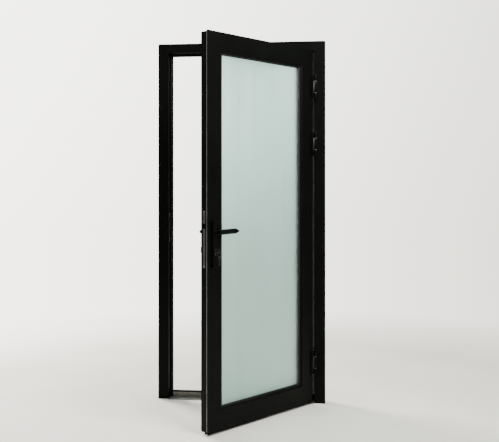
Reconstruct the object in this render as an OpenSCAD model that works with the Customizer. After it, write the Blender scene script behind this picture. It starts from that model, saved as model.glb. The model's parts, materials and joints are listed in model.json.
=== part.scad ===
// Glazed aluminium swing door in its frame: a tubular frame with a threshold, and a
// mitred leaf with a frosted sealed unit, three barrel hinges, lever handles and a
// cylinder lock. Millimetres, +Z up. The origin is on the floor, in the middle of the
// frame's width and depth. -Y is the side that the leaf opens towards, hinges at +X.

/* [Frame] */
// Overall width of the frame
frame_w = 985; // [820:1:1200]
// Overall height of the frame
frame_h = 2100; // [1750:1:2520]
// Visible width of a jamb beside the leaf
jamb_face = 62; // [50:1:76]
// Visible height of the head above the leaf
head_face = 53; // [44:1:76]
// How far the stop stands into the doorway
stop_w = 15.5; // [12:0.5:20]
// Depth of the stop, front to back
stop_d = 10; // [8:1:24]
// Wall thickness of the frame profiles
frame_wall = 2.5; // [1.8:0.1:3.2]

/* [Threshold] */
// Thickness of the threshold's tread
tread_t = 5; // [4:0.5:6]
// How far the tread's nosing stands in front of the frame
nosing_w = 16; // [6:1:25]
// Height of the threshold's upstand behind the leaf, without its seal
upstand_h = 34; // [26:1:45]
// Height of the seal on top of the upstand
sill_seal_h = 6; // [4:0.5:8]

/* [Leaf] */
// Angle that the leaf stands open at
open_deg = 54.8; // [0:0.1:110]
// Thickness of the leaf
leaf_t = 54; // [46:1:65]
// Visible width of a leaf profile with its glazing bead
leaf_face = 107; // [98:1:132]
// Visible width of a glazing bead
bead_w = 24; // [20:1:30]
// How much of it slopes back to the glass
bead_slope = 12; // [6:1:16]
// How far the leaf's front lip stands past its core
lip_w = 4; // [3.5:0.5:7]
// Depth of the lip's edge, front to back
lip_t = 8; // [6:0.5:9]
// Wall thickness of the leaf profiles
leaf_wall = 2.5; // [1.8:0.1:3.2]
// Gap between the leaf and the frame at the sides and the head
side_gap = 4; // [3:0.5:6]
// Height of the leaf's lower edge above the floor
floor_gap = 8; // [7:0.5:12]
// Height of the strip under the bottom rail
strip_h = 14; // [10:1:20]

/* [Glass] */
// Thickness of one pane
pane_t = 4; // [4:0.5:6]
// Gap between the two panes
cavity_t = 20; // [10:1:20]
// Height of the blocks that the glass stands on
block_h = 10; // [8:0.5:12]
// How far the wedge gasket shows beside the bead
wedge_w = 8; // [4:0.5:10]

/* [Hinges] */
// Height of a hinge
hinge_h = 137; // [114:1:165]
// Height of the middle knuckle, which belongs to the frame
knuckle_h = 66; // [55:1:80]
// Radius of a knuckle
knuckle_r = 9; // [8:0.5:10]
// Radius of a hinge pin
pin_r = 5; // [4:0.5:6]
// Distance from the leaf's edge to the pin axis, across the gap
pin_out = 10.5; // [9:0.5:14]
// Distance from the leaf's face to the pin axis
pin_fwd = 11; // [10.5:0.5:14]
// Height of the lower hinge's middle above the floor
hinge_low = 241; // [180:1:300]
// Distance from the frame's top down to the upper hinge's middle
hinge_top = 268; // [200:1:300]
// Distance between the middles of the two upper hinges
hinge_step = 329; // [200:1:450]

/* [Handles] */
// Height of the lever's spindle above the floor
handle_z = 1025; // [950:1:1100]
// Distance from the leaf's edge to the spindle
handle_in = 40; // [38:1:48]
// Length of a lever from the spindle to its end
lever_l = 141; // [110:1:160]
// Height of a lever
lever_h = 19; // [14:0.5:22]
// Thickness of a lever
lever_t = 13; // [10:0.5:16]
// Distance from the leaf's face to a lever's outer side
lever_out = 64; // [50:1:70]
// Radius of a lever's neck
neck_r = 9; // [8:0.5:11]
// Width of a backplate
plate_w = 31; // [28:1:36]
// Length of a backplate
plate_h = 234; // [220:1:250]
// Thickness of a backplate
plate_t = 12; // [9:0.5:14]
// Distance from a backplate's upper end down to the spindle
plate_top = 56; // [45:1:65]

/* [Lock] */
// Distance from the spindle down to the cylinder's axis
cylinder_drop = 92; // [85:1:92]
// Width of the faceplate
faceplate_w = 16; // [16:1:20]
// Length of the faceplate
faceplate_h = 290; // [270:1:310]
// Travel of the latch bolt
latch_throw = 14; // [12:0.5:14]
// Travel of the deadbolt
deadbolt_throw = 20; // [16:0.5:20]
// Length of the strike plate
strike_h = 172; // [160:1:190]

/* [Fixings] */
// Radius of the frame's fixing holes
fixing_r = 5.25; // [3.5:0.25:6]
// Height of the lowest fixing holes above the floor
fixing_low = 130; // [100:1:150]
// Distance from the frame's top down to the highest fixing holes
fixing_top = 130; // [100:1:150]
// Height of the lower middle fixing holes above the floor
fixing_mid = 700; // [500:1:800]
// Distance between the two middle fixing holes
fixing_step = 600; // [500:1:650]

/* [Hidden] */
$fn = 48;
fit = 0.3;        // gap between pieces that are put together or meet a soft seal
running = 0.05;   // radial gap of a shaft in its bore
press = 0.02;     // gap round a piece that is pressed or let in
rebate_d = leaf_t + 2;                    // depth from the frame's face to its stop
frame_depth = rebate_d + stop_d;
front_y = -frame_depth / 2;
jamb_x = -frame_w / 2 + jamb_face;        // inner side of the lock jamb beside the leaf
leaf_w = frame_w - 2 * (jamb_face + side_gap);
leaf_x0 = -leaf_w / 2;
rail_z0 = floor_gap + strip_h;            // lower edge of the leaf's profiles
leaf_z1 = frame_h - head_face - side_gap; // upper edge of the leaf
leaf_h = leaf_z1 - rail_z0;
tube_w = leaf_face - bead_w;
glass_w0 = tube_w + block_h;              // edge of the glass, from the leaf's edge
glass_t = 2 * pane_t + cavity_t;
leg_t = 3;                                // thickness of the leaf's glazing leg
seal_inside = 7;                          // thickness of the glazing gasket inside
glass_depth = leaf_t - leg_t - seal_inside - glass_t;
bead_t = glass_depth - 5;
hinge_zs = [hinge_low, frame_h - hinge_top - hinge_step, frame_h - hinge_top];
pin_u = leaf_w + pin_out;
gap_t = 1;                                // height of a hinge's washers
outer_h = (hinge_h - knuckle_h) / 2 - gap_t;
wing_t = 7;                               // thickness of a hinge's plates
wing_in = 20;                             // width of the plate on the leaf
wing_out = 14;                            // width of the plate on the jamb, from the pin
leaf_screw_u = leaf_w - 12.5;
leaf_screw_step = hinge_h / 2 - 16.5;
jamb_screw_u = pin_u + 9.6;
jamb_screw_step = knuckle_h / 2 - 13;
bush_t = 1.5;
cap_t = 2;                                // closed end of an outer knuckle
cylinder_z = handle_z - cylinder_drop;
lock_v = leaf_t / 2 + 6;                  // middle of the lock in the leaf's depth
case_t = 15;
case_w = handle_in + 15;
case_wall = 1.5;
latch_z = handle_z + 31;
latch_h = 24;
bolt_t = 11;
latch_body = handle_in - lip_w - latch_throw - 4; // length of its head in the case, short of the screw
tail_t = 6;
deadbolt_z = handle_z - 50;
deadbolt_h = 35;
plate_z0 = handle_z + plate_top - plate_h;
face_z = handle_z - 35;                   // middle of the faceplate
strike_z = handle_z - 13.5;
screw_zs = [handle_z + 43, cylinder_z - 54];
euro_r = 8.5;                             // round part of the cylinder's outline
euro_leg = 5;                             // half the width of its lower part
euro_drop = 19.5;                         // from its axis to the middle of its round foot
plug_r = 6;
plug_y = -plate_t - 2.5;                  // outer face of the plug
cam_t = 10;
cam_l = 15;                               // reach of the cam's lug
cam_v0 = lock_v - cam_t / 2;
cam_v1 = lock_v + cam_t / 2;
spindle_w = 8;
grip_d = 24;                              // from a lever's outer side to the spindle's end
fixing_y = 22;
fixing_zs = [fixing_low, frame_h - fixing_top, fixing_mid, fixing_mid + fixing_step];
sill_w = frame_w - 2 * jamb_face;

// ---- placing ----

// Puts a shape that is drawn from the frame's front face into the model's frame
module in_frame() translate([0, front_y, 0]) children();

// Puts a shape drawn on the closed leaf, from its free edge and face, on the open leaf
module in_leaf()
    in_frame()
        translate([leaf_x0 + pin_u, -pin_fwd, 0])
            rotate([0, 0, open_deg])
                translate([-pin_u, pin_fwd, 0])
                    children();

// A block from one corner to the other
module block(a, b) translate(a) cube(b - a);

// A round bar from y = a to y = b
module bar_y(r, a, b) translate([0, a, 0]) rotate([-90, 0, 0]) cylinder(r = r, h = b - a);

// A round bar from x = a to x = b
module bar_x(r, a, b) translate([a, 0, 0]) rotate([0, 90, 0]) cylinder(r = r, h = b - a);

// A countersunk screw whose head's top is at z = 0 and whose shank points down
module screw(shank_r, head_r, length) {
    head_t = head_r - shank_r;
    translate([0, 0, -head_t]) cylinder(r1 = shank_r, r2 = head_r, h = head_t);
    translate([0, 0, -length]) cylinder(r = shank_r, h = length - head_t);
}

// ---- frame ----

// Section of a frame profile: x from the wall side inwards, y from the front
module frame_section(face) {
    w = frame_wall;
    difference() {
        frame_outline(face);
        translate([w, w]) square([face - 2 * w, rebate_d - w]);
        translate([w, rebate_d + w]) square([face + stop_w - 2 * w, frame_depth - rebate_d - 2 * w]);
    }
}

module frame_outline(face)
    polygon([[0, 0], [face, 0], [face, rebate_d], [face + stop_w, rebate_d],
             [face + stop_w, frame_depth], [0, frame_depth]]);

// A jamb drawn on the left
module jamb_blank() translate([-frame_w / 2, 0, 0]) linear_extrude(frame_h) frame_section(jamb_face);

// The solid jamb, for cutting the pieces that are butted against it
module jamb_envelope() translate([-frame_w / 2, 0, -1]) linear_extrude(frame_h + 2) frame_outline(jamb_face);

module fixing_holes()
    for (z = fixing_zs)
        translate([0, fixing_y, z]) bar_x(fixing_r, -frame_w / 2 - 1, jamb_x + 1);

module lock_jamb() color([0.06, 0.06, 0.06]) in_frame() difference() {
    jamb_blank();
    fixing_holes();
    bolt_windows(1);
    for (z = strike_screw_zs())
        translate([0, lock_v, z]) bar_x(2, jamb_x - 5, jamb_x + 1);
    strike_blank(press);
    cleat_holes();
}

module hinge_jamb() color([0.06, 0.06, 0.06]) in_frame() difference() {
    mirror([1, 0, 0]) jamb_blank();
    mirror([1, 0, 0]) fixing_holes();
    mirror([1, 0, 0]) cleat_holes();
    for (z = hinge_zs) hinge_frame_holes(z);
}

module head() color([0.06, 0.06, 0.06]) in_frame() difference() {
    translate([-sill_w / 2, 0, frame_h]) mirror([0, 0, 1]) mirror([1, 0, -1])
        linear_extrude(sill_w) frame_section(head_face);
    jamb_envelope();
    mirror([1, 0, 0]) jamb_envelope();
}

cleat_l = 40;
cleat_screw_ys = [12, 38];
cleat_z = frame_h - head_face / 2;
cleat_screw_r = 2.4;
cleat_screw_l = 28;

// Blocks inside the head's ends, which carry the screws from the jambs
module frame_cleats() color([0.6, 0.6, 0.62]) in_frame() for (s = [0, 1]) mirror([s, 0, 0]) difference() {
    block([-sill_w / 2, frame_wall + fit, frame_h - head_face + frame_wall + press],
          [-sill_w / 2 + cleat_l, rebate_d - fit, frame_h - frame_wall - fit]);
    for (y = cleat_screw_ys)
        translate([-sill_w / 2, y, cleat_z]) bar_x(cleat_screw_r + 0.1, -1, cleat_screw_l + 2);
}

module cleat_holes()
    for (y = cleat_screw_ys)
        translate([0, y, cleat_z]) bar_x(cleat_screw_r + 0.2, -sill_w / 2 - frame_wall - 1, -sill_w / 2 + 1);

module cleat_screws() color([0.7, 0.7, 0.7]) in_frame() for (s = [0, 1], y = cleat_screw_ys)
    mirror([s, 0, 0]) translate([0, y, cleat_z]) {
        bar_x(cleat_screw_r, -sill_w / 2 - frame_wall, -sill_w / 2 + cleat_screw_l);
        bar_x(cleat_screw_r + 2, -sill_w / 2 - frame_wall - 3, -sill_w / 2 - frame_wall);
    }

// Tread with grooves, and a hollow upstand behind the leaf
module threshold() color([0.66, 0.66, 0.66]) in_frame() difference() {
    translate([-sill_w / 2, 0, 0]) mirror([1, 0, -1]) linear_extrude(sill_w) difference() {
        polygon([[0, -nosing_w], [1.5, -nosing_w], [tread_t, -nosing_w + 6], [tread_t, rebate_d],
                 [upstand_h, rebate_d], [upstand_h, frame_depth], [0, frame_depth]]);
        translate([tread_t, rebate_d + 2]) square([upstand_h - tread_t - 2, frame_depth - rebate_d - 4]);
        for (y = [0 : 8 : 32]) translate([tread_t - 1, y]) square([2, 2.5]);
        for (z = [14, 22]) translate([z, rebate_d - 1]) square([1.2, 2]);
    }
    jamb_envelope();
    mirror([1, 0, 0]) jamb_envelope();
}

module threshold_seal() color([0.05, 0.05, 0.05]) in_frame()
    translate([-sill_w / 2 + stop_w, 0, 0]) mirror([1, 0, -1]) linear_extrude(sill_w - 2 * stop_w)
        polygon([[upstand_h - 5, rebate_d - 1.7], [upstand_h + sill_seal_h - 2, rebate_d - 1.7],
                 [upstand_h + sill_seal_h, rebate_d + 1], [upstand_h + sill_seal_h, rebate_d + 7],
                 [upstand_h, rebate_d + 8], [upstand_h, rebate_d], [upstand_h - 5, rebate_d]]);

seal_w = 9;
seal_t = rebate_d - leaf_t - fit;
seal_x = 3;    // from the rebate's corner to the seal

// Seal on the stop of the lock jamb and the head
module stop_gasket() color([0.05, 0.05, 0.05]) in_frame() {
    x0 = -sill_w / 2 + seal_x;
    z1 = frame_h - head_face - seal_x;
    block([x0, rebate_d - seal_t, upstand_h + sill_seal_h + fit], [x0 + seal_w, rebate_d, z1]);
    block([x0 + seal_w, rebate_d - seal_t, z1 - seal_w], [-x0 - seal_w - fit, rebate_d, z1]);
}

module hinge_side_gasket() color([0.35, 0.35, 0.35]) in_frame()
    block([sill_w / 2 - seal_x - seal_w, rebate_d - seal_t, upstand_h + sill_seal_h + fit],
          [sill_w / 2 - seal_x, rebate_d, frame_h - head_face - seal_x]);

// ---- strike ----

strike_w = 24;
strike_t = 2;
strike_x = jamb_x + 0.5;    // the strike stands half a millimetre out of the jamb
function strike_screw_zs() = [strike_z - strike_h / 2 + 10, strike_z + strike_h / 2 - 10];

// The two windows that the bolts enter, through the jamb's wall and the strike
module bolt_windows(grow) {
    x0 = jamb_x - frame_wall - 1;
    x1 = jamb_x + 1;
    v0 = lock_v - bolt_t / 2 - grow;
    v1 = lock_v + bolt_t / 2 + grow;
    block([x0, v0, latch_z - latch_h / 2 - grow], [x1, v1, latch_z + latch_h / 2 + grow]);
    block([x0, v0, deadbolt_z - deadbolt_h / 2 - grow], [x1, v1, deadbolt_z + deadbolt_h / 2 + grow]);
}

module strike_blank(grow)
    block([strike_x - strike_t - grow, lock_v - strike_w / 2 - grow, strike_z - strike_h / 2 - grow],
          [strike_x + grow, lock_v + strike_w / 2 + grow, strike_z + strike_h / 2 + grow]);

module strike_plate() color([0.5, 0.5, 0.5]) in_frame() difference() {
    strike_blank(0);
    bolt_windows(0.6);
    for (z = strike_screw_zs()) translate([strike_x, lock_v, z]) rotate([0, 90, 0]) screw(2.1, 4.1, 6);
}

module strike_screws() color([0.7, 0.7, 0.7]) in_frame()
    for (z = strike_screw_zs()) translate([strike_x, lock_v, z]) rotate([0, 90, 0]) screw(1.9, 3.9, 14);

// ---- hinges ----

// The middle knuckle with the body that holds it to the jamb
module hinge_frame_part(z) color([0.07, 0.07, 0.07]) in_frame() translate([leaf_x0, 0, z]) difference() {
    union() {
        translate([pin_u, -pin_fwd, -knuckle_h / 2]) cylinder(r = knuckle_r, h = knuckle_h);
        block([pin_u, -wing_t, -knuckle_h / 2], [pin_u + wing_out, 0, knuckle_h / 2]);
        block([pin_u, -pin_fwd, -knuckle_h / 2], [pin_u + knuckle_r, -wing_t + 1, knuckle_h / 2]);
    }
    translate([pin_u, -pin_fwd, -knuckle_h / 2 - 1]) cylinder(r = pin_r + press, h = knuckle_h + 2);
    for (dz = [-jamb_screw_step, jamb_screw_step])
        translate([jamb_screw_u, -wing_t, dz]) rotate([90, 0, 0]) screw(2.1, 4, 9);
}

// The two outer knuckles, with one plate on the leaf's face
module hinge_leaf_part(z) color([0.07, 0.07, 0.07]) in_leaf() translate([0, 0, z]) difference() {
    union() {
        block([leaf_w - wing_in, -wing_t, -hinge_h / 2], [leaf_w - 3, 0, hinge_h / 2]);
        for (s = [0, 1]) mirror([0, 0, s]) {
            z0 = knuckle_h / 2 + gap_t;
            translate([pin_u, -pin_fwd, z0]) cylinder(r = knuckle_r, h = outer_h);
            block([leaf_w - 4, -wing_t, z0], [pin_u - 4, -0.5, hinge_h / 2]);
            block([pin_u - knuckle_r, -pin_fwd, z0], [pin_u, -wing_t + 1, hinge_h / 2]);
        }
    }
    translate([pin_u, -pin_fwd, cap_t - hinge_h / 2]) cylinder(r = pin_r + bush_t, h = hinge_h - 2 * cap_t);
    for (dz = [-leaf_screw_step, 0, leaf_screw_step])
        translate([leaf_screw_u, -wing_t, dz]) rotate([90, 0, 0]) screw(2.1, 4, 9);
}

module hinge_pins() color([0.6, 0.6, 0.62]) in_frame()
    for (z = hinge_zs) translate([leaf_x0 + pin_u, -pin_fwd, z - hinge_h / 2 + cap_t + 0.5])
        cylinder(r = pin_r, h = hinge_h - 2 * cap_t - 1);

// A flanged sleeve in each outer knuckle; its flange fills the gap between knuckles
module hinge_bushes() color([0.75, 0.75, 0.75]) in_leaf() for (z = hinge_zs, s = [0, 1])
    translate([pin_u, -pin_fwd, z]) mirror([0, 0, s]) difference() {
        union() {
            translate([0, 0, knuckle_h / 2 + running]) cylinder(r = knuckle_r - 1, h = gap_t - running);
            translate([0, 0, knuckle_h / 2 + gap_t]) cylinder(r = pin_r + bush_t, h = outer_h - cap_t);
        }
        translate([0, 0, knuckle_h / 2 - 1]) cylinder(r = pin_r + running, h = outer_h + 3);
    }

module hinge_frame_holes(z) for (dz = [-jamb_screw_step, jamb_screw_step])
    translate([leaf_x0 + jamb_screw_u, 0, z + dz]) bar_y(2.1, -1, frame_wall + 1);

module hinge_leaf_holes(z) for (dz = [-leaf_screw_step, 0, leaf_screw_step])
    translate([leaf_screw_u, 0, z + dz]) bar_y(2.1, -1, leaf_wall + 1);

module hinge_screws_frame() color([0.1, 0.1, 0.1]) in_frame()
    for (z = hinge_zs, dz = [-jamb_screw_step, jamb_screw_step])
        translate([leaf_x0 + jamb_screw_u, -wing_t, z + dz]) rotate([90, 0, 0]) screw(2, 3.9, 16);

module hinge_screws_leaf() color([0.1, 0.1, 0.1]) in_leaf()
    for (z = hinge_zs, dz = [-leaf_screw_step, 0, leaf_screw_step])
        translate([leaf_screw_u, -wing_t, z + dz]) rotate([90, 0, 0]) screw(2, 3.9, 16);

// ---- leaf profiles ----

// Section of a leaf profile: x from the leaf's edge inwards, y from its face
module leaf_section() {
    w = leaf_wall;
    difference() {
        union() {
            square([tube_w, w]);
            square([w, lip_t]);
            translate([lip_w, 0]) square([tube_w - lip_w, leaf_t]);
            translate([tube_w - 1, leaf_t - leg_t]) square([bead_w + 1, leg_t]);
        }
        translate([lip_w + w, w]) square([tube_w - lip_w - 2 * w, leaf_t - 2 * w]);
    }
}

// Lays an upright section along the bottom, the top or the hinge side of the leaf
module along(side) {
    if (side == "lock") translate([0, 0, rail_z0]) linear_extrude(leaf_h) children();
    if (side == "hinge") translate([leaf_w, 0, rail_z0]) mirror([1, 0, 0]) linear_extrude(leaf_h) children();
    if (side == "bottom") translate([0, 0, rail_z0]) mirror([1, 0, -1]) linear_extrude(leaf_w) children();
    if (side == "top") translate([0, 0, leaf_z1]) mirror([0, 0, 1]) mirror([1, 0, -1])
        linear_extrude(leaf_w) children();
}

// The piece of the leaf's outline that one mitred side takes, deep enough for every section
module mitre(side) {
    c = leaf_face + 30;
    points = side == "lock" ? [[0, 0], [c, c], [c, leaf_h - c], [0, leaf_h]]
        : side == "hinge" ? [[leaf_w, 0], [leaf_w - c, c], [leaf_w - c, leaf_h - c], [leaf_w, leaf_h]]
        : side == "bottom" ? [[0, 0], [leaf_w, 0], [leaf_w - c, c], [c, c]]
        : [[0, leaf_h], [leaf_w, leaf_h], [leaf_w - c, leaf_h - c], [c, leaf_h - c]];
    translate([0, leaf_t + 5, rail_z0]) rotate([90, 0, 0]) linear_extrude(leaf_t + 10) polygon(points);
}

module mitred(side) intersection() {
    along(side) children();
    mitre(side);
}

module lock_stile() color([0.08, 0.08, 0.08]) in_leaf() difference() {
    mitred("lock") leaf_section();
    faceplate_blank(press, leaf_wall + 0.5);
    stile_holes();
}

module hinge_stile() color([0.08, 0.08, 0.08]) in_leaf() difference() {
    mitred("hinge") leaf_section();
    for (z = hinge_zs) hinge_leaf_holes(z);
}

module top_rail() color([0.08, 0.08, 0.08]) in_leaf() mitred("top") leaf_section();

module bottom_rail() color([0.08, 0.08, 0.08]) in_leaf() mitred("bottom") leaf_section();

// Angle blocks pressed into the tubes at the four corners, hollow at both ends
cleat_arm = 55;
cleat_shell = 5;

module leaf_cleats() color([0.6, 0.6, 0.62]) in_leaf() for (sx = [0, 1], sz = [0, 1])
    translate([sx * leaf_w, 0, rail_z0 + sz * leaf_h]) mirror([sx, 0, 0]) mirror([0, 0, sz]) {
        a = lip_w + leaf_wall + press;
        b = tube_w - leaf_wall - press;
        v0 = leaf_wall + press;
        v1 = leaf_t - leaf_wall - press;
        far = b + cleat_arm;
        low = [a + cleat_shell, v0 + cleat_shell, a + cleat_shell];
        difference() {
            block([a, v0, a], [far, v1, far]);
            block([b, 0, b], [far + 1, leaf_t, far + 1]);
            block(low, [far + 1, v1 - cleat_shell, b - cleat_shell]);
            block(low, [b - cleat_shell, v1 - cleat_shell, far + 1]);
        }
    }

// Seal in the corner behind the leaf's lip
module leaf_gasket_section()
    polygon([[leaf_wall, leaf_wall], [lip_w, leaf_wall], [lip_w, lip_t + 5.5], [2, lip_t + 5.5],
             [0.4, lip_t + 4], [0.4, lip_t], [leaf_wall, lip_t]]);

module leaf_gasket() color([0.45, 0.45, 0.45]) in_leaf()
    for (side = ["lock", "hinge", "bottom", "top"]) mitred(side) leaf_gasket_section();

// Strip under the bottom rail: a thin front blade, and a foot with a channel for the brush
brush_v = 22;
brush_t = 8;
channel_h = 5;

module bottom_carrier() color([0.08, 0.08, 0.08]) in_leaf() {
    foot_z = rail_z0 - 4;
    difference() {
        union() {
            block([lip_w, 4, foot_z], [leaf_w - lip_w, leaf_t - 2, rail_z0 - fit]);
            block([lip_w, lip_t + 6, foot_z], [leaf_w - lip_w, leaf_t - 2, rail_z0 + lip_w]);
            block([0, 1, floor_gap], [leaf_w, 6.5, rail_z0 - fit]);
        }
        block([lip_w - 1, brush_v, foot_z - 1], [leaf_w, brush_v + brush_t, foot_z + channel_h]);
    }
}

module bottom_brush() color([0.05, 0.05, 0.05]) in_leaf()
    block([lip_w + 1, brush_v, floor_gap - 1.5],
          [leaf_w - lip_w - 1, brush_v + brush_t, rail_z0 - 4 + channel_h]);

// ---- glazing ----

bead_wall = 1.8;

// A hollow bead whose front slopes back to the glass
module bead_section() difference() {
    foot = leaf_face - bead_slope;
    run = bead_wall * bead_slope / bead_t;
    lean = norm([bead_wall, run]);
    polygon([[tube_w, 0], [foot, 0], [leaf_face, bead_t], [tube_w, bead_t]]);
    polygon([[tube_w + bead_wall, bead_wall], [foot + run - lean, bead_wall],
             [leaf_face - run - lean, bead_t - bead_wall], [tube_w + bead_wall, bead_t - bead_wall]]);
}

module lock_side_bead() color([0.08, 0.08, 0.08]) in_leaf() mitred("lock") bead_section();
module hinge_side_bead() color([0.08, 0.08, 0.08]) in_leaf() mitred("hinge") bead_section();
module top_bead() color([0.08, 0.08, 0.08]) in_leaf() mitred("top") bead_section();
module bottom_bead() color([0.08, 0.08, 0.08]) in_leaf() mitred("bottom") bead_section();

module glazing_frame() for (side = ["lock", "hinge", "bottom", "top"]) mitred(side) children();

module outer_glazing_gasket() color([0.04, 0.04, 0.04]) in_leaf() glazing_frame()
    polygon([[glass_w0 + 2, bead_t], [leaf_face, bead_t], [leaf_face + wedge_w, glass_depth - 1],
             [leaf_face + wedge_w, glass_depth], [glass_w0 + 2, glass_depth]]);

module inner_glazing_gasket() color([0.04, 0.04, 0.04]) in_leaf() glazing_frame()
    translate([glass_w0 + 2, glass_depth + glass_t])
        square([leaf_face - glass_w0 - 2, leaf_t - leg_t - glass_depth - glass_t]);

module pane(v) block([glass_w0, v, rail_z0 + glass_w0], [leaf_w - glass_w0, v + pane_t, leaf_z1 - glass_w0]);

module outer_pane() color([0.75, 0.82, 0.82, 0.5]) in_leaf() pane(glass_depth);
module inner_pane() color([0.75, 0.82, 0.82, 0.5]) in_leaf() pane(glass_depth + pane_t + cavity_t);

module spacer_bar() color([0.1, 0.1, 0.1]) in_leaf() glazing_frame()
    translate([glass_w0 + 1, glass_depth + pane_t]) square([13, cavity_t]);

module setting_blocks() color([0.1, 0.1, 0.4]) in_leaf() {
    for (u = [leaf_w * 0.25, leaf_w * 0.75])
        block([u - 50, glass_depth, rail_z0 + tube_w], [u + 50, glass_depth + glass_t, rail_z0 + glass_w0]);
    for (sx = [0, 1], z = [leaf_h * 0.2, leaf_h * 0.8])
        translate([sx * leaf_w, 0, rail_z0 + z]) mirror([sx, 0, 0])
            block([tube_w, glass_depth, -50], [glass_w0, glass_depth + glass_t, 50]);
}

// ---- lock ----

module faceplate_blank(grow, depth)
    block([lip_w - grow, lock_v - faceplate_w / 2 - grow, face_z - faceplate_h / 2 - grow],
          [lip_w + depth + grow, lock_v + faceplate_w / 2 + grow, face_z + faceplate_h / 2 + grow]);

faceplate_t = leaf_wall;
face_screw_zs = [face_z - faceplate_h / 2 + 8, face_z + faceplate_h / 2 - 6];

module faceplate() color([0.55, 0.55, 0.55]) in_leaf() difference() {
    faceplate_blank(0, faceplate_t);
    translate([0, 0, latch_z]) latch_window(latch_h);
    translate([0, 0, deadbolt_z]) latch_window(deadbolt_h);
    cylinder_screw_hole();
    for (z = face_screw_zs) translate([lip_w, lock_v, z]) rotate([0, -90, 0]) screw(2.1, 4.1, 6);
}

cylinder_screw_r = 2.4;
module cylinder_screw_hole()
    translate([0, lock_v, cylinder_z - euro_drop]) bar_x(cylinder_screw_r + 0.1, 0, handle_in);

module latch_window(h)
    block([0, lock_v - bolt_t / 2 - fit, -h / 2 - fit], [20, lock_v + bolt_t / 2 + fit, h / 2 + fit]);

module faceplate_screws() color([0.75, 0.75, 0.75]) in_leaf()
    for (z = face_screw_zs) translate([lip_w, lock_v, z]) rotate([0, -90, 0]) screw(1.9, 3.9, 14);

face_block_h = 20;

// Blocks behind the stile's wall that the faceplate is screwed to
module lock_blocks() color([0.6, 0.6, 0.62]) in_leaf() for (z = face_screw_zs) difference() {
    block([lip_w + leaf_wall + press, lock_v - 14, z - face_block_h / 2],
          [lip_w + leaf_wall + 14, lock_v + 14, z + face_block_h / 2]);
    translate([0, lock_v, z]) bar_x(2, 0, 40);
}

module lock_case() color([0.5, 0.5, 0.52]) in_leaf() difference() {
    low = [lip_w + leaf_wall + running, lock_v - case_t / 2, face_screw_zs[0] + face_block_h / 2 + 0.5];
    high = [low[0] + case_w, lock_v + case_t / 2, face_screw_zs[1] - face_block_h / 2 - 0.5];
    wall = [case_wall, case_wall, case_wall];
    block(low, high);
    block(low + wall, high - wall);
    translate([0, 0, latch_z]) latch_window(latch_h);
    translate([0, 0, deadbolt_z]) latch_window(deadbolt_h);
    translate([handle_in, 0, handle_z]) bar_y(hub_r + fit, 0, leaf_t);
    translate([handle_in, 0, cylinder_z]) euro(0.4, 0, leaf_t);
    cylinder_screw_hole();
    for (z = screw_zs) translate([handle_in, 0, z]) bar_y(3.2, 0, leaf_t);
}

// Keyhole outline of a profile cylinder, from y = a to y = b
module euro(grow, a, b) {
    bar_y(euro_r + grow, a, b);
    block([-euro_leg - grow, a, -euro_drop], [euro_leg + grow, b, 0]);
    translate([0, 0, -euro_drop]) bar_y(euro_leg + grow, a, b);
}

hub_r = 9;

// What the levers, the cylinder and the screws need through the stile
module stile_holes() {
    translate([handle_in, 0, handle_z]) bar_y(neck_r + 1, -1, leaf_t + 1);
    translate([handle_in, 0, cylinder_z]) euro(0.4, -1, leaf_t + 1);
    for (z = screw_zs) translate([handle_in, 0, z]) bar_y(3.2, -1, leaf_t + 1);
}

// Head bevelled on the side that meets the strike, and a flat tail above the follower
module latch_bolt() color([0.15, 0.15, 0.15]) in_leaf() translate([lip_w, lock_v, latch_z]) {
    half_t = bolt_t / 2;
    translate([0, 0, -latch_h / 2]) linear_extrude(latch_h)
        polygon([[-latch_throw, -half_t], [latch_body, -half_t], [latch_body, half_t], [-2, half_t],
                 [-latch_throw, 1 - half_t]]);
    block([latch_body, -tail_t / 2, -4], [handle_in - lip_w + 1, tail_t / 2, 4]);
}

module deadbolt() color([0.6, 0.6, 0.6]) in_leaf() translate([lip_w, lock_v, deadbolt_z]) {
    block([0, -bolt_t / 2, -deadbolt_h / 2], [deadbolt_throw + 5, bolt_t / 2, deadbolt_h / 2]);
    block([deadbolt_throw + 5, -tail_t / 2, -8], [deadbolt_throw + 21, tail_t / 2, 8]);
}

// Hub with the square hole that the spindle turns, and its short arm
module follower() color([0.6, 0.6, 0.6]) in_leaf() translate([handle_in, lock_v, handle_z]) difference() {
    union() {
        bar_y(hub_r, -case_t / 2, case_t / 2);
        bar_y(hub_r + 2.5, -tail_t / 2, tail_t / 2);
        block([-3, -tail_t / 2, 0], [3, tail_t / 2, hub_r + 7]);
    }
    spindle_hole(-case_t, case_t);
}

module spindle_hole(a, b) {
    half = spindle_w / 2 + 0.1;
    block([-half, a, -half], [half, b, half]);
}

// Two turns of the flat coil that turns the follower back
spring_wire = 0.5;

module follower_spring() color([0.3, 0.3, 0.3]) in_leaf() translate([handle_in, lock_v, handle_z])
    for (v = [3.7, 4.9]) rotate([-90, 0, 0]) rotate_extrude()
        translate([hub_r + 1.2, v]) circle(r = spring_wire, $fn = 16);

module cylinder_body() color([0.7, 0.68, 0.62]) in_leaf() translate([handle_in, 0, cylinder_z]) difference() {
    euro(0, -plate_t - 2, leaf_t + plate_t + 2);
    bar_y(plug_r + running, -plate_t - 5, leaf_t + plate_t + 5);
    bar_y(cam_l + 1, cam_v0 - fit, cam_v1 + fit);
    translate([0, lock_v, -euro_drop]) bar_x(cylinder_screw_r + press, -20, 20);
}

// Long screw through the faceplate into the cylinder, with its head in the faceplate
module cylinder_screw() color([0.75, 0.75, 0.75]) in_leaf() translate([0, lock_v, cylinder_z - euro_drop])
    bar_x(cylinder_screw_r, lip_w + 0.5, handle_in - 1);

key_slot_t = 2.4;

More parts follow.
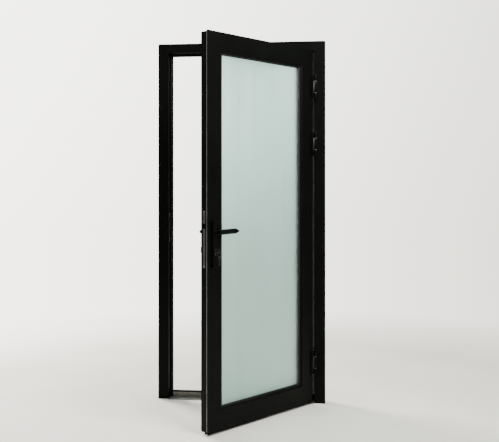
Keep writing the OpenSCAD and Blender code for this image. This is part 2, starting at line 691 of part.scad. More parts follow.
module cylinder_plug() color([0.7, 0.7, 0.6]) in_leaf() translate([handle_in, 0, cylinder_z]) difference() {
    bar_y(plug_r, plug_y, cam_v0);
    block([-key_slot_t / 2, plug_y - 1, -key_h / 2 - fit], [key_slot_t / 2, cam_v0 - 4, key_h / 2 + fit]);
}

module cylinder_cam() color([0.6, 0.6, 0.6]) in_leaf() translate([handle_in, lock_v, cylinder_z]) {
    bar_y(plug_r + 2, -cam_t / 2, cam_t / 2);
    block([-3, -cam_t / 2, 0], [3, cam_t / 2, cam_l]);
}

// Round shaft, collar and flat grip inside
turn_collar = 5;
turn_l = 16;
turn_h = 28;

module thumb_turn() color([0.1, 0.1, 0.1]) in_leaf() translate([handle_in, 0, cylinder_z]) {
    collar_y = leaf_t + plate_t + 3;
    grip_y = collar_y + turn_collar;
    bar_y(plug_r, cam_v1, collar_y);
    bar_y(plug_r + 3, collar_y, grip_y);
    block([-4, grip_y, -turn_h / 2], [4, grip_y + turn_l, turn_h / 2]);
}

// The key stands upright in the plug: its bow is a round plate in the y-z plane
key_t = 2;
key_h = 8.4;
bow_r = 13;
bow_y = plug_y - bow_r - 5;
bow_hole_r = 3;
bow_hole = [0, bow_y - 7, -3];

module key() color([0.75, 0.75, 0.72]) in_leaf() translate([handle_in, 0, cylinder_z]) {
    block([-key_t / 2, bow_y + 10, -key_h / 2], [key_t / 2, cam_v0 - 6, key_h / 2]);
    difference() {
        translate([0, bow_y, 0]) bar_x(bow_r, -key_t / 2, key_t / 2);
        translate(bow_hole) bar_x(bow_hole_r, -5, 5);
    }
}

ring_r = 12;
ring_wire = 1;
ring_c = bow_hole - [0, 0, ring_r + bow_hole_r - ring_wire - running];

module key_ring() color([0.75, 0.75, 0.75]) in_leaf() translate([handle_in, 0, cylinder_z])
    translate(ring_c) rotate([90, 0, 0]) rotate_extrude()
        translate([ring_r, 0]) circle(r = ring_wire, $fn = 16);

// Second key, hanging with its bow on the ring
spare_r = 11;

module spare_key() color([0.7, 0.7, 0.7]) in_leaf()
    translate([handle_in, 0, cylinder_z]) translate(ring_c - [0, 0, ring_r]) {
        hole_z = ring_wire + running - bow_hole_r;
        difference() {
            translate([0, 0, hole_z - spare_r + bow_hole_r + 2]) bar_x(spare_r, -key_t / 2, key_t / 2);
            translate([0, 0, hole_z]) bar_x(bow_hole_r, -5, 5);
        }
        block([-key_t / 2, -4, -46], [key_t / 2, 4, -17]);
    }

// ---- handles ----

// A cast shell with two screw bosses, open at the back; drawn on the outer side
plate_wall = 2.5;

module backplate() difference() {
    u0 = handle_in - plate_w / 2;
    u1 = handle_in + plate_w / 2;
    block([u0, -plate_t, plate_z0], [u1, 0, plate_z0 + plate_h]);
    difference() {
        block([u0 + plate_wall, -plate_t + 3, plate_z0 + plate_wall],
              [u1 - plate_wall, 1, plate_z0 + plate_h - plate_wall]);
        for (z = screw_zs) translate([handle_in, 0, z]) bar_y(6.5, -plate_t, 2);
        translate([handle_in, 0, handle_z]) bar_y(neck_r + 3, -plate_t, 2);
    }
    translate([handle_in, 0, handle_z]) bar_y(neck_r + 0.08, -plate_t - 1, 2);
    translate([handle_in, 0, cylinder_z]) euro(fit, -plate_t - 1, 2);
}

module outer_backplate() color([0.05, 0.05, 0.05]) in_leaf() difference() {
    backplate();
    for (z = screw_zs) translate([handle_in, 0, z]) bar_y(2.5, -plate_t + 3, 2);
}

module inner_backplate() color([0.05, 0.05, 0.05]) in_leaf() difference() {
    translate([0, leaf_t, 0]) mirror([0, 1, 0]) backplate();
    for (z = screw_zs) translate([handle_in, leaf_t + plate_t, z]) rotate([-90, 0, 0])
        screw(2.6, 5.1, plate_t + 5);
}

module backplate_screws() color([0.1, 0.1, 0.1]) in_leaf() for (z = screw_zs)
    translate([handle_in, leaf_t + plate_t, z]) rotate([-90, 0, 0]) screw(2.4, 4.9, leaf_t + 2 * plate_t - 4);

// A lever on the outer side: a round neck and a bar that tapers to a round end
module lever() translate([handle_in, 0, handle_z]) {
    bar_y(neck_r, -lever_out, -fit);
    end_r = lever_h / 2 - 1;
    translate([0, -lever_out + lever_t, 0]) rotate([90, 0, 0]) linear_extrude(lever_t) {
        circle(r = lever_h / 2);
        translate([lever_l - end_r, 0]) circle(r = end_r);
        polygon([[0, -lever_h / 2], [lever_l - end_r, -end_r], [lever_l - end_r, end_r], [0, lever_h / 2]]);
    }
}

module outer_lever() color([0.05, 0.05, 0.05]) in_leaf() difference() {
    lever();
    translate([handle_in, 0, handle_z]) spindle_hole(grip_d - lever_out - 2, 0);
}

module inner_lever_and_spindle() color([0.05, 0.05, 0.05]) in_leaf() {
    half = spindle_w / 2;
    translate([0, leaf_t, 0]) mirror([0, 1, 0]) lever();
    translate([handle_in, 0, handle_z])
        block([-half, grip_d - lever_out, -half], [half, leaf_t + fit + 1, half]);
}

// ---- what each name draws ----

lock_jamb();
hinge_jamb();
head();
threshold();
threshold_seal();
frame_cleats();
cleat_screws();
stop_gasket();
hinge_side_gasket();
strike_plate();
strike_screws();
hinge_frame_part(hinge_zs[0]);  // lower_hinge_frame_part
hinge_frame_part(hinge_zs[1]);  // middle_hinge_frame_part
hinge_frame_part(hinge_zs[2]);  // upper_hinge_frame_part
hinge_leaf_part(hinge_zs[0]);  // lower_hinge_leaf_part
hinge_leaf_part(hinge_zs[1]);  // middle_hinge_leaf_part
hinge_leaf_part(hinge_zs[2]);  // upper_hinge_leaf_part
hinge_pins();
hinge_bushes();
hinge_screws_frame();
hinge_screws_leaf();
lock_stile();
hinge_stile();
top_rail();
bottom_rail();
leaf_cleats();
leaf_gasket();
bottom_carrier();
bottom_brush();
lock_side_bead();
hinge_side_bead();
top_bead();
bottom_bead();
outer_glazing_gasket();
inner_glazing_gasket();
outer_pane();
inner_pane();
spacer_bar();
setting_blocks();
lock_case();
faceplate();
faceplate_screws();
lock_blocks();
latch_bolt();
deadbolt();
follower();
follower_spring();
cylinder_body();
cylinder_screw();
cylinder_plug();
cylinder_cam();
thumb_turn();
key();
key_ring();
spare_key();
outer_backplate();
inner_backplate();
backplate_screws();
outer_lever();
inner_lever_and_spindle();
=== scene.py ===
# A black aluminium swing door with a frosted sealed pane, in its frame, under soft light.
import json
import math

import bpy
from mathutils import Matrix, Vector


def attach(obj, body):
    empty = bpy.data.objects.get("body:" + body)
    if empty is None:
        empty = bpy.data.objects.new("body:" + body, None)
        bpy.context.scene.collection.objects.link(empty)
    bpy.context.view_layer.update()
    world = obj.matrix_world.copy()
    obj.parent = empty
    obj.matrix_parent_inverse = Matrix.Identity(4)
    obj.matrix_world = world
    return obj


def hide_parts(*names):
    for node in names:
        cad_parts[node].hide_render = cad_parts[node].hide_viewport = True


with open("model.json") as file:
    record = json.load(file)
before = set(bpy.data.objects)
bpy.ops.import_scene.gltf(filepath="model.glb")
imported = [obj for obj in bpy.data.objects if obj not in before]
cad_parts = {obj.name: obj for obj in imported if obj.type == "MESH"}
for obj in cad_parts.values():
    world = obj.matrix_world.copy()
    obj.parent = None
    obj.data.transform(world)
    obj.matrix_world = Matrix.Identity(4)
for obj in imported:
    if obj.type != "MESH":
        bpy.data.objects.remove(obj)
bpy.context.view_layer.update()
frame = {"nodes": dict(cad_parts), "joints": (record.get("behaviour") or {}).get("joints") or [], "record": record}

nodes = frame["nodes"]
joints = {joint["name"]: joint for joint in frame["joints"]}
bodyOf = {name: body for body, names in frame["record"]["behaviour"]["bodies"].items() for name in names}
mm = 0.001
print("frame loaded:", len(nodes), "nodes")

# The leaf is worked on shut, where it is square to the axes, and is then swung open about its pins
pin = Vector(joints["door_swing"]["pos_m"])
openAngle = -math.radians(joints["door_swing"]["range_deg"][0])
swingOpen = Matrix.Translation(pin) @ Matrix.Rotation(openAngle, 4, "Z") @ Matrix.Translation(-pin)
swingShut = swingOpen.inverted()


def shutBox(name):
    # lowest and highest corner of a node on the leaf, with the leaf shut
    points = [swingShut @ v.co for v in nodes[name].data.vertices]
    low = Vector([min(p[i] for p in points) for i in range(3)])
    high = Vector([max(p[i] for p in points) for i in range(3)])
    return low, high


# camera at standing eye height, left of the leaf and turned a little to the left
cameraLook = {
    "place": (0.6362, -4.7898, 1.2520),
    "turnLeft": 7.0,
    "lens": 59.10,
    "sensor": 36,
    "rise": -0.0675,
}


def addCamera():
    data = bpy.data.cameras.new("camera")
    camera = bpy.data.objects.new("camera", data)
    bpy.context.scene.collection.objects.link(camera)
    camera.location = cameraLook["place"]
    camera.rotation_euler = (math.radians(90), 0, math.radians(cameraLook["turnLeft"]))
    data.sensor_width = cameraLook["sensor"]
    data.lens = cameraLook["lens"]
    data.shift_y = cameraLook["rise"]
    bpy.context.scene.camera = camera


addCamera()
print("camera placed")


# ---- materials: small tools ----

def linear(colour):
    # sRGB hex to the linear colour that the shaders work in
    parts = [int(colour[i:i + 2], 16) / 255 for i in (1, 3, 5)]
    return [p / 12.92 if p <= 0.04045 else ((p + 0.055) / 1.055) ** 2.4 for p in parts] + [1.0]


def addNode(material, kind, settings=None, values=None, links=None):
    # adds one shader node, with its settings, its input values and what feeds its inputs
    node = material.node_tree.nodes.new(kind)
    for name, value in (settings or {}).items():
        setattr(node, name, value)
    for name, value in (values or {}).items():
        node.inputs[name].default_value = value
    for name, source in (links or {}).items():
        material.node_tree.links.new(source, node.inputs[name])
    return node


def startMaterial(name):
    material = bpy.data.materials.new(name)
    material.use_nodes = True
    tree = material.node_tree
    shader = next(n for n in tree.nodes if n.type == "BSDF_PRINCIPLED")
    place = addNode(material, "ShaderNodeTexCoord").outputs["Object"]
    return material, shader, place


def stretched(material, place, scale, turn=0.0):
    # the place, turned about the upright axis and then scaled, for lines and streaks
    turned = addNode(material, "ShaderNodeMapping", values={"Rotation": (0, 0, turn)},
                     links={"Vector": place})
    return addNode(material, "ShaderNodeMapping", values={"Scale": scale},
                   links={"Vector": turned.outputs[0]}).outputs[0]


def addNoise(material, place, size, detail=2.0, rough=0.5):
    # soft noise whose blobs are about size metres across
    return addNode(material, "ShaderNodeTexNoise",
                   values={"Scale": 1 / size, "Detail": detail, "Roughness": rough},
                   links={"Vector": place}).outputs["Fac"]


def remap(material, source, low, high, fromLow=0.3, fromHigh=0.7):
    # a number that runs from low to high as the source does over the middle of its range
    return addNode(material, "ShaderNodeMapRange",
                   values={"From Min": fromLow, "From Max": fromHigh, "To Min": low, "To Max": high},
                   links={"Value": source}).outputs[0]


def blendColours(material, factor, first, second):
    # sRGB hex colours, or sockets, mixed by factor
    node = addNode(material, "ShaderNodeMix", {"data_type": "RGBA"}, links={0: factor})
    for socket, colour in ((6, first), (7, second)):
        if isinstance(colour, str):
            node.inputs[socket].default_value = linear(colour)
        else:
            material.node_tree.links.new(colour, node.inputs[socket])
    return node.outputs[2]


def addBump(material, height, strength, depth):
    return addNode(material, "ShaderNodeBump", values={"Strength": strength, "Distance": depth},
                   links={"Height": height}).outputs[0]


def connect(material, shader, name, source):
    material.node_tree.links.new(source, shader.inputs[name])


# ---- materials ----

# Polyester powder coat, sprayed and baked on aluminium: satin black, with a fine orange-peel skin
# that breaks up reflections. The real peel is about 0.8 mm; it is drawn at 1.5 mm so that it shows.
coatLook = {
    "satin": {"dark": "#040504", "light": "#070907", "rough": (0.40, 0.48), "peel": 1.5 * mm,
              "bump": 0.12, "specular": 0.05},
    "hardware": {"dark": "#030303", "light": "#060706", "rough": (0.36, 0.44), "peel": 0.9 * mm,
                 "bump": 0.10, "specular": 0.07},
}
coatGrain = {"cloud": 180 * mm, "dust": 12 * mm, "peelDepth": 0.05 * mm}


def makePowderCoat(name, look):
    material, shader, place = startMaterial(name)
    cloud = addNoise(material, place, coatGrain["cloud"], 3)
    peel = addNoise(material, place, look["peel"], 1)
    dust = addNoise(material, place, coatGrain["dust"], 4, 0.6)
    connect(material, shader, "Base Color",
            blendColours(material, remap(material, cloud, 0, 1), look["dark"], look["light"]))
    connect(material, shader, "Roughness", remap(material, dust, *look["rough"]))
    connect(material, shader, "Normal", addBump(material, peel, look["bump"], coatGrain["peelDepth"]))
    shader.inputs["Specular IOR Level"].default_value = look["specular"]
    return material


# EPDM rubber, extruded: dull black or grey, with faint drag lines along its length
rubberLook = {
    "black": {"dark": "#0b0b0b", "light": "#131313", "rough": (0.62, 0.78), "specular": 0.3},
    "grey": {"dark": "#5f6261", "light": "#74777a", "rough": (0.55, 0.70), "specular": 0.4},
}
rubberGrain = {"drag": 1.2 * mm, "along": (1, 1, 0.02), "patch": 60 * mm, "bump": 0.3,
               "depth": 0.05 * mm}


def makeRubber(name, look):
    material, shader, place = startMaterial(name)
    along = stretched(material, place, rubberGrain["along"])
    drag = addNoise(material, along, rubberGrain["drag"], 2)
    patch = addNoise(material, place, rubberGrain["patch"], 3)
    connect(material, shader, "Base Color",
            blendColours(material, remap(material, patch, 0, 1), look["dark"], look["light"]))
    connect(material, shader, "Roughness", remap(material, drag, *look["rough"]))
    connect(material, shader, "Normal",
            addBump(material, drag, rubberGrain["bump"], rubberGrain["depth"]))
    shader.inputs["Specular IOR Level"].default_value = look["specular"]
    return material


# Metals: anodised and mill aluminium keep the lines of the extrusion die, stainless steel is
# brushed upright, and nickel and zinc are plated and rubbed by use
metalLook = {
    "anodised": {"dark": "#75746f", "light": "#8d8c86", "rough": (0.28, 0.42), "lines": (0.01, 1, 1),
                 "size": 1.4 * mm, "bump": 0.25},
    "mill": {"dark": "#9a9b9c", "light": "#b4b5b6", "rough": (0.35, 0.5), "lines": (1, 1, 0.02),
             "size": 1.6 * mm, "bump": 0.2},
    "steel": {"dark": "#565655", "light": "#6b6b69", "rough": (0.26, 0.42), "lines": (1, 1, 0.02),
              "size": 0.7 * mm, "bump": 0.25},
    "nickel": {"dark": "#4c4a47", "light": "#62605b", "rough": (0.22, 0.36), "lines": (1, 1, 1),
               "size": 2.5 * mm, "bump": 0.08},
    "zinc": {"dark": "#85888a", "light": "#9fa2a4", "rough": (0.25, 0.38), "lines": (1, 1, 1),
             "size": 1.5 * mm, "bump": 0.1},
}
metalGrain = {"patch": 40 * mm, "depth": 0.03 * mm}


def makeMetal(name, look):
    material, shader, place = startMaterial(name)
    lines = addNoise(material, stretched(material, place, look["lines"]), look["size"], 3, 0.6)
    patch = addNoise(material, place, metalGrain["patch"], 3)
    connect(material, shader, "Base Color",
            blendColours(material, remap(material, patch, 0, 1), look["dark"], look["light"]))
    connect(material, shader, "Roughness", remap(material, lines, *look["rough"]))
    connect(material, shader, "Normal", addBump(material, lines, look["bump"], metalGrain["depth"]))
    shader.inputs["Metallic"].default_value = 1.0
    return material


# Float glass, one face etched with acid to a satin: it lets light through but no clear picture,
# and its mist has faint upright bands from the etching bath
glassLook = {
    "satin": {"thin": "#c9e0dc", "thick": "#bfd8d4", "rough": (0.52, 0.60)},
    "clear": {"thin": "#e6f0ec", "thick": "#e0ece7", "rough": (0.01, 0.03)},
}
glassGrain = {"bands": 70 * mm, "upright": (1, 1, 0.06), "refraction": 1.5}


def makeGlass(name, look):
    material, shader, place = startMaterial(name)
    uprightPlace = stretched(material, place, glassGrain["upright"])
    bands = addNoise(material, uprightPlace, glassGrain["bands"], 3)
    connect(material, shader, "Base Color",
            blendColours(material, remap(material, bands, 0, 1), look["thin"], look["thick"]))
    connect(material, shader, "Roughness", remap(material, bands, *look["rough"]))
    shader.inputs["Transmission Weight"].default_value = 1.0
    shader.inputs["IOR"].default_value = glassGrain["refraction"]
    return material


# Moulded or extruded plastic: a faint sink and a soft shine
plasticLook = {
    "nylon": {"dark": "#a9a79f", "light": "#bcbab2", "rough": (0.40, 0.52), "specular": 0.5},
    "spacer": {"dark": "#121212", "light": "#1b1b1b", "rough": (0.5, 0.62), "specular": 0.4},
    "block": {"dark": "#17181c", "light": "#202228", "rough": (0.45, 0.6), "specular": 0.5},
}
plasticGrain = {"sink": 14 * mm, "grain": 0.8 * mm, "bump": 0.15, "depth": 0.03 * mm}


def makePlastic(name, look):
    material, shader, place = startMaterial(name)
    sink = addNoise(material, place, plasticGrain["sink"], 2)
    grain = addNoise(material, place, plasticGrain["grain"], 2)
    connect(material, shader, "Base Color",
            blendColours(material, remap(material, sink, 0, 1), look["dark"], look["light"]))
    connect(material, shader, "Roughness", remap(material, grain, *look["rough"]))
    connect(material, shader, "Normal",
            addBump(material, grain, plasticGrain["bump"], plasticGrain["depth"]))
    shader.inputs["Specular IOR Level"].default_value = look["specular"]
    return material


# Brush pile of crimped polypropylene yarn: upright strands, dull black
pileLook = {"dark": "#060606", "light": "#1a1a1a", "rough": (0.8, 0.95), "strand": 1.0 * mm,
            "upright": (1, 1, 0.05), "bump": 0.8, "depth": 0.4 * mm}


def makePile(name):
    material, shader, place = startMaterial(name)
    uprightPlace = stretched(material, place, pileLook["upright"])
    strands = addNoise(material, uprightPlace, pileLook["strand"], 2)
    connect(material, shader, "Base Color",
            blendColours(material, remap(material, strands, 0, 1), pileLook["dark"], pileLook["light"]))
    connect(material, shader, "Roughness", remap(material, strands, *pileLook["rough"]))
    connect(material, shader, "Normal", addBump(material, strands, pileLook["bump"], pileLook["depth"]))
    return material


finishes = {
    "frame_powder_coat": makePowderCoat("satin black powder coat on the frame", coatLook["satin"]),
    "leaf_powder_coat": makePowderCoat("satin black powder coat on the leaf", coatLook["satin"]),
    "black_hardware": makePowderCoat("matt black coated zinc", coatLook["hardware"]),
    "anodised_aluminium": makeMetal("natural anodised aluminium", metalLook["anodised"]),
    "mill_aluminium": makeMetal("mill aluminium", metalLook["mill"]),
    "black_rubber": makeRubber("black EPDM", rubberLook["black"]),
    "grey_rubber": makeRubber("grey EPDM", rubberLook["grey"]),
    "brush_pile": makePile("woven brush pile"),
    "satin_glass": makeGlass("acid-etched satin glass", glassLook["satin"]),
    "clear_glass": makeGlass("clear float glass", glassLook["clear"]),
    "spacer_black": makePlastic("black warm-edge spacer", plasticLook["spacer"]),
    "block_plastic": makePlastic("moulded polypropylene", plasticLook["block"]),
    "hinge_nylon": makePlastic("moulded nylon", plasticLook["nylon"]),
    "steel": makeMetal("brushed stainless steel", metalLook["steel"]),
    "zinc_screws": makeMetal("zinc-plated steel", metalLook["zinc"]),
    "nickel": makeMetal("nickel plate", metalLook["nickel"]),
}
slotOf = {part["node"]: part["material_slot"] for part in frame["record"]["subparts"]}


def wear(piece, slot):
    # gives a mesh one finish all over
    piece.data.materials.clear()
    piece.data.materials.append(finishes[slot])


for name, node in nodes.items():
    wear(node, slotOf[name])
print("finishes on all nodes")


# ---- pieces ----

def selectOnly(piece):
    bpy.ops.object.select_all(action="DESELECT")
    piece.select_set(True)
    bpy.context.view_layer.objects.active = piece


def finishPiece(piece, name):
    # a piece that stands for one node wears its finish and moves with its body
    wear(piece, slotOf[name])
    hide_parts(name)
    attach(piece, bodyOf[name])


# Radius that each node's sharp edges are broken by, in millimetres: a die leaves 0.5 on a profile,
# a casting has 1 to 2, and a sawn or stamped edge has less
edgeRadius = {
    "lock_jamb": 0.6, "hinge_jamb": 0.6, "head": 0.6, "threshold": 0.3,
    "lock_stile": 0.6, "hinge_stile": 0.6, "top_rail": 0.6, "bottom_rail": 0.6,
    "lock_side_bead": 0.5, "hinge_side_bead": 0.5, "top_bead": 0.5, "bottom_bead": 0.5,
    "bottom_carrier": 0.4, "outer_backplate": 1.4, "inner_backplate": 1.4,
    "lower_hinge_frame_part": 1.0, "middle_hinge_frame_part": 1.0, "upper_hinge_frame_part": 1.0,
    "lower_hinge_leaf_part": 1.0, "middle_hinge_leaf_part": 1.0, "upper_hinge_leaf_part": 1.0,
    "faceplate": 0.3, "strike_plate": 0.3, "outer_pane": 0.6, "inner_pane": 0.6,
    "thumb_turn": 0.8,
}
edgeLook = {
    "segments": 2,
    "sharp": math.radians(30),  # a corner over this angle counts as an edge
    "flat": math.radians(1),    # faces within this angle of each other become one
    "weld": 0.002 * mm,
}
# These have round parts; the others are all flat faces and are shaded flat
roundedPieces = [name for name in edgeRadius if "hinge_leaf" in name or "hinge_frame" in name]
roundedPieces.append("thumb_turn")


# Profiles that meet in a mitre are sawn sharp there, so only the edges along them are rounded
upright = Vector((0, 0, 1))
leafLine = swingOpen.to_3x3() @ Vector((1, 0, 0))
mitredAlong = {"lock_stile": upright, "hinge_stile": upright, "lock_side_bead": upright,
               "hinge_side_bead": upright, "top_rail": leafLine, "bottom_rail": leafLine,
               "top_bead": leafLine, "bottom_bead": leafLine}
nearlyParallel = 0.99


def markLongEdges(piece, line):
    # gives full bevel weight to the sharp edges that run along the line
    bpy.ops.object.mode_set(mode="EDIT")
    bpy.ops.mesh.select_mode(type="EDGE")
    bpy.ops.mesh.select_all(action="DESELECT")
    bpy.ops.mesh.edges_select_sharp(sharpness=edgeLook["sharp"])
    bpy.ops.object.mode_set(mode="OBJECT")
    mesh = piece.data
    weights = mesh.attributes.new("bevel_weight_edge", "FLOAT", "EDGE")
    for edge in mesh.edges:
        first, second = (mesh.vertices[i].co for i in edge.vertices)
        along = abs((second - first).normalized().dot(line)) > nearlyParallel
        weights.data[edge.index].value = 1.0 if edge.select and along else 0.0


def breakEdges(name, radius):
    # a merged copy of the node, with its sharp edges rounded
    piece = bpy.data.objects.new(name + "_finished", nodes[name].data.copy())
    bpy.context.scene.collection.objects.link(piece)
    selectOnly(piece)
    bpy.ops.object.mode_set(mode="EDIT")
    bpy.ops.mesh.select_all(action="SELECT")
    bpy.ops.mesh.remove_doubles(threshold=edgeLook["weld"])
    bpy.ops.mesh.dissolve_limited(angle_limit=edgeLook["flat"])
    bpy.ops.object.mode_set(mode="OBJECT")
    bpy.ops.object.shade_smooth()
    bevel = piece.modifiers.new("edges", "BEVEL")
    bevel.width = radius * mm
    bevel.segments = edgeLook["segments"]
    bevel.limit_method = "ANGLE"
    bevel.angle_limit = edgeLook["sharp"]
    if name in mitredAlong:
        markLongEdges(piece, mitredAlong[name])
        bevel.limit_method = "WEIGHT"
    bevel.use_clamp_overlap = False
    bevel.harden_normals = True
    bpy.ops.object.modifier_apply(modifier="edges")
    if name not in roundedPieces:
        bpy.ops.object.shade_flat()
    finishPiece(piece, name)


for name, radius in edgeRadius.items():
    breakEdges(name, radius)
print("edges broken on", len(edgeRadius), "nodes")


# ---- levers ----

# A cast lever in millimetres: a collar on the plate, a round neck, an elbow, and a flat oval grip
# that narrows to a round end
leverLook = {
    "sides": 32,
    "sunk": 1.0,            # how deep the collar starts inside the plate
    "collar": (12.5, 3.0),  # radius and height
    "rim": (0.9, 1.0),      # how far the collar's top narrows, and over what height
    "neckStep": 0.2,        # height of the step from the collar to the neck
    "neck": 9.0,            # radius of the neck
    "elbow": 17.0,          # radius of the bend at its middle line
    "elbowSteps": 7,
    "grip": (7.5, 13.0),    # half thickness and half height where the grip starts
    "gripSteps": 3,
    "end": (7.0, 13.2),     # half thickness and half height where the grip ends
    "rise": 3.0,            # how far the grip's middle climbs over its length
    "endLength": 4.5,       # of the round end
    "endSteps": 6,
    "endReach": 0.96,       # how much of a quarter turn the round end covers
    "endFullness": 0.6,     # under 1, the end keeps its thickness longer than its height
    "smoothAngle": math.radians(38),
}


def growRing(move, scale, centre):
    # extrudes the selected end face by a move and scales it about its new middle
    bpy.ops.mesh.extrude_region_move(TRANSFORM_OT_translate={"value": [v * mm for v in move]})
    bpy.ops.transform.resize(value=scale, center_override=centre)


def growNeck(middleX, height, start, gripY, facing):
    # the collar with its narrower rim, and the straight neck up to the elbow
    look = leverLook
    rim, rimHeight = look["rim"]
    slim = look["neck"] / (look["collar"][0] * rim)
    here = start
    for rise, scale in ((look["collar"][1], 1), (rimHeight, rim), (look["neckStep"], slim)):
        here += facing * rise * mm
        growRing((0, facing * rise, 0), (scale, 1, scale), (middleX, here, height))
    straight = abs(gripY - here) / mm - look["elbow"]
    growRing((0, facing * straight, 0), (1, 1, 1), (middleX, here, height))


def growElbow(turnX, height, gripY, facing):
    # turned a step at a time, while its section goes from round to oval
    look = leverLook
    bend = look["elbow"] * mm
    turnY = gripY - facing * bend
    steps = look["elbowSteps"]
    stepAngle = math.pi / 2 / steps
    flatter = (look["grip"][0] / look["neck"]) ** (1 / steps)
    taller = (look["grip"][1] / look["neck"]) ** (1 / steps)
    for step in range(1, steps + 1):
        bpy.ops.mesh.spin(steps=1, angle=-facing * stepAngle, center=(turnX, turnY, height),
                          axis=(0, 0, 1))
        angle = stepAngle * step
        centre = (turnX - bend * math.cos(angle), turnY + facing * bend * math.sin(angle), height)
        bpy.ops.transform.resize(value=(flatter, flatter, taller), center_override=centre)


def growGrip(startX, height, gripY, tip):
    # a few even lengths, then the round end in shrinking steps
    look = leverLook
    steps = look["gripSteps"]
    length = ((tip - startX) / mm - look["endLength"]) / steps
    rise = look["rise"] / steps
    thinner = (look["end"][0] / look["grip"][0]) ** (1 / steps)
    taller = (look["end"][1] / look["grip"][1]) ** (1 / steps)
    atX, atZ = startX, height
    for step in range(steps):
        atX += length * mm
        atZ += rise * mm
        growRing((length, 0, rise), (1, thinner, taller), (atX, gripY, atZ))
    reachBefore, sizeBefore = 0.0, 1.0
    for step in range(1, look["endSteps"] + 1):
        angle = math.pi / 2 * look["endReach"] * step / look["endSteps"]
        move = look["endLength"] * (math.sin(angle) - reachBefore)
        shrink = math.cos(angle) / sizeBefore
        atX += move * mm
        growRing((move, 0, 0), (1, shrink ** look["endFullness"], shrink), (atX, gripY, atZ))
        reachBefore, sizeBefore = math.sin(angle), math.cos(angle)


def makeLever(name, plateName, facing):
    # facing is -1 for the outer side and 1 for the inner one; it is made with the leaf shut
    look = leverLook
    low, high = shutBox(name)
    plateLow, plateHigh = shutBox(plateName)
    followerLow, followerHigh = shutBox("follower")
    leverLow, leverHigh = shutBox("outer_lever")
    middleX = (followerLow.x + followerHigh.x) / 2
    height = (leverLow.z + leverHigh.z) / 2
    outside = low.y if facing < 0 else high.y
    plateFace = plateLow.y if facing < 0 else plateHigh.y
    start = plateFace - facing * look["sunk"] * mm
    gripY = outside - facing * look["grip"][0] * mm
    turnX = middleX + look["elbow"] * mm
    bpy.ops.object.select_all(action="DESELECT")
    bpy.ops.mesh.primitive_circle_add(vertices=look["sides"], radius=look["collar"][0] * mm,
                                      fill_type="NGON", location=(middleX, start, height),
                                      rotation=(-facing * math.pi / 2, 0, 0))
    lever = bpy.context.object
    lever.name = name + "_cast"
    bpy.ops.object.transform_apply(location=True, rotation=True, scale=True)
    bpy.ops.object.mode_set(mode="EDIT")
    bpy.ops.mesh.select_all(action="SELECT")
    growNeck(middleX, height, start, gripY, facing)
    growElbow(turnX, height, gripY, facing)
    growGrip(turnX, height, gripY, high.x)
    bpy.ops.mesh.select_all(action="SELECT")
    bpy.ops.mesh.remove_doubles(threshold=edgeLook["weld"])
    bpy.ops.mesh.normals_make_consistent(inside=False)
    bpy.ops.object.mode_set(mode="OBJECT")
    bpy.ops.object.shade_smooth_by_angle(angle=look["smoothAngle"])
    lever.data.transform(swingOpen)
    finishPiece(lever, name)


makeLever("outer_lever", "outer_backplate", -1)
makeLever("inner_lever_and_spindle", "inner_backplate", 1)
print("levers made")


# ---- floor and light ----

floorLook = {
    "colours": ("#dedbd1", "#e8e5dc"),
    "rough": (0.6, 0.8),
    "specular": 0.25,
    "blotch": 600 * mm,
    "fine": 30 * mm,
    "sides": 96,
    "radius": 9.0,
    "fade": (1.9, 3.6),     # distances from the door where it starts and ends
}


def addFloor():
    bpy.ops.object.select_all(action="DESELECT")
    bpy.ops.mesh.primitive_circle_add(vertices=floorLook["sides"], radius=floorLook["radius"],
                                      fill_type="NGON")
    floor = bpy.context.object
    floor.name = "floor"
    material, shader, place = startMaterial("pale trowelled floor")
    blotch = addNoise(material, place, floorLook["blotch"], 5, 0.6)
    fine = addNoise(material, place, floorLook["fine"], 4, 0.6)
    connect(material, shader, "Base Color",
            blendColours(material, remap(material, blotch, 0, 1), *floorLook["colours"]))
    connect(material, shader, "Roughness", remap(material, fine, *floorLook["rough"]))
    shader.inputs["Specular IOR Level"].default_value = floorLook["specular"]
    distance = addNode(material, "ShaderNodeVectorMath", {"operation": "LENGTH"}, links={0: place})
    fade = remap(material, distance.outputs["Value"], 0, 1, *floorLook["fade"])
    clear = addNode(material, "ShaderNodeBsdfTransparent")
    mix = addNode(material, "ShaderNodeMixShader", links={0: fade, 1: shader.outputs[0]})
    material.node_tree.links.new(clear.outputs[0], mix.inputs[2])
    output = next(n for n in material.node_tree.nodes if n.type == "OUTPUT_MATERIAL")
    material.node_tree.links.new(mix.outputs[0], output.inputs["Surface"])
    floor.data.materials.append(material)


lamps = {
    "window on the left": {"place": (-3.6, 2.6, 2.9), "aim": (0.2, -1.0, 0), "size": (2.0, 1.6),
                           "power": 620, "colour": "#fffdf8"},
    "high on the right": {"place": (1.7, -1.9, 3.3), "aim": (0, -0.3, 1.6), "size": (1.4, 1.2),
                          "power": 190, "colour": "#ffffff"},
    "soft top": {"place": (-1.6, -2.8, 4.6), "aim": (-1.6, -2.0, 0), "size": (2.6, 2.6),
                 "power": 80, "colour": "#ffffff"},
    "room behind": {"place": (-0.6, 3.4, 2.4), "aim": (0, 0, 1.1), "size": (2.8, 2.4),
                    "power": 60, "colour": "#f7fbff"},
}


def addLamp(name, look):
    data = bpy.data.lights.new(name, "AREA")
    data.shape = "RECTANGLE"
    data.size, data.size_y = look["size"]
    data.energy = look["power"]
    data.color = linear(look["colour"])[:3]
    lamp = bpy.data.objects.new(name, data)
    bpy.context.scene.collection.objects.link(lamp)
    lamp.location = look["place"]
    toAim = Vector(look["aim"]) - Vector(look["place"])
    lamp.rotation_euler = toAim.to_track_quat("-Z", "Y").to_euler()


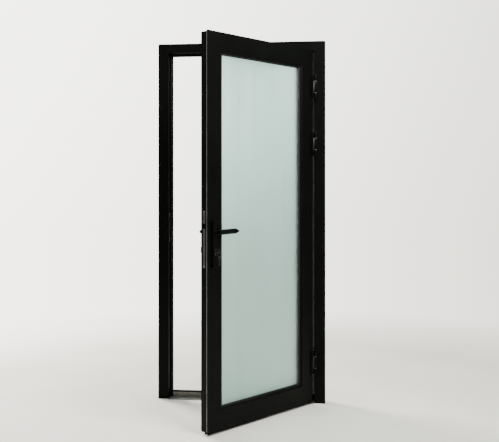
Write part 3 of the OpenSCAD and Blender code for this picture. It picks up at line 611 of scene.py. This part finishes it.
# Each part of the sky runs from its first value to its second between the two places given with it,
# which are parts of the view direction, upwards or to the right
skyLook = {
    "colours": ("#dcd9cf", "#f1f0ea"),
    "colourHeights": (-0.05, 0.35),
    "seen": (6.6, 3.2),
    "seenAcross": (-0.42, 0.18),
    "throughGlass": (0.95, 4.0),
    "glassHeights": (-0.2, 0.25),
    "glassShare": (1.5, 0.25),
    "glassAcross": (-0.35, 0.15),
    "asLight": 0.6,
}


def chooseNumber(owner, switch, off, on):
    # the second number where the switch is 1, and otherwise the first
    node = addNode(owner, "ShaderNodeMix", {"data_type": "FLOAT"}, links={0: switch})
    for socket, number in ((2, off), (3, on)):
        if isinstance(number, float):
            node.inputs[socket].default_value = number
        else:
            owner.node_tree.links.new(number, node.inputs[socket])
    return node.outputs[0]


def addSky():
    world = bpy.data.worlds.new("studio")
    bpy.context.scene.world = world
    world.use_nodes = True
    place = addNode(world, "ShaderNodeTexCoord").outputs["Generated"]
    across = addNode(world, "ShaderNodeSeparateXYZ", links={0: place})
    height = across.outputs["Z"]
    sideways = across.outputs["X"]
    colour = blendColours(world, remap(world, height, 0, 1, *skyLook["colourHeights"]),
                          *skyLook["colours"])
    # the sky is brighter where it is seen, straight or through glass, than as a light
    ray = addNode(world, "ShaderNodeLightPath")
    seen = remap(world, sideways, *skyLook["seen"], *skyLook["seenAcross"])
    upwards = remap(world, height, *skyLook["throughGlass"], *skyLook["glassHeights"])
    share = remap(world, sideways, *skyLook["glassShare"], *skyLook["glassAcross"])
    through = addNode(world, "ShaderNodeMath", {"operation": "MULTIPLY"},
                      links={0: upwards, 1: share}).outputs[0]
    strength = chooseNumber(world, ray.outputs["Is Camera Ray"], skyLook["asLight"], seen)
    strength = chooseNumber(world, ray.outputs["Is Transmission Ray"], strength, through)
    background = next(n for n in world.node_tree.nodes if n.type == "BACKGROUND")
    world.node_tree.links.new(colour, background.inputs["Color"])
    world.node_tree.links.new(strength, background.inputs["Strength"])


addFloor()
addSky()
for name, look in lamps.items():
    addLamp(name, look)
print("floor and light set")
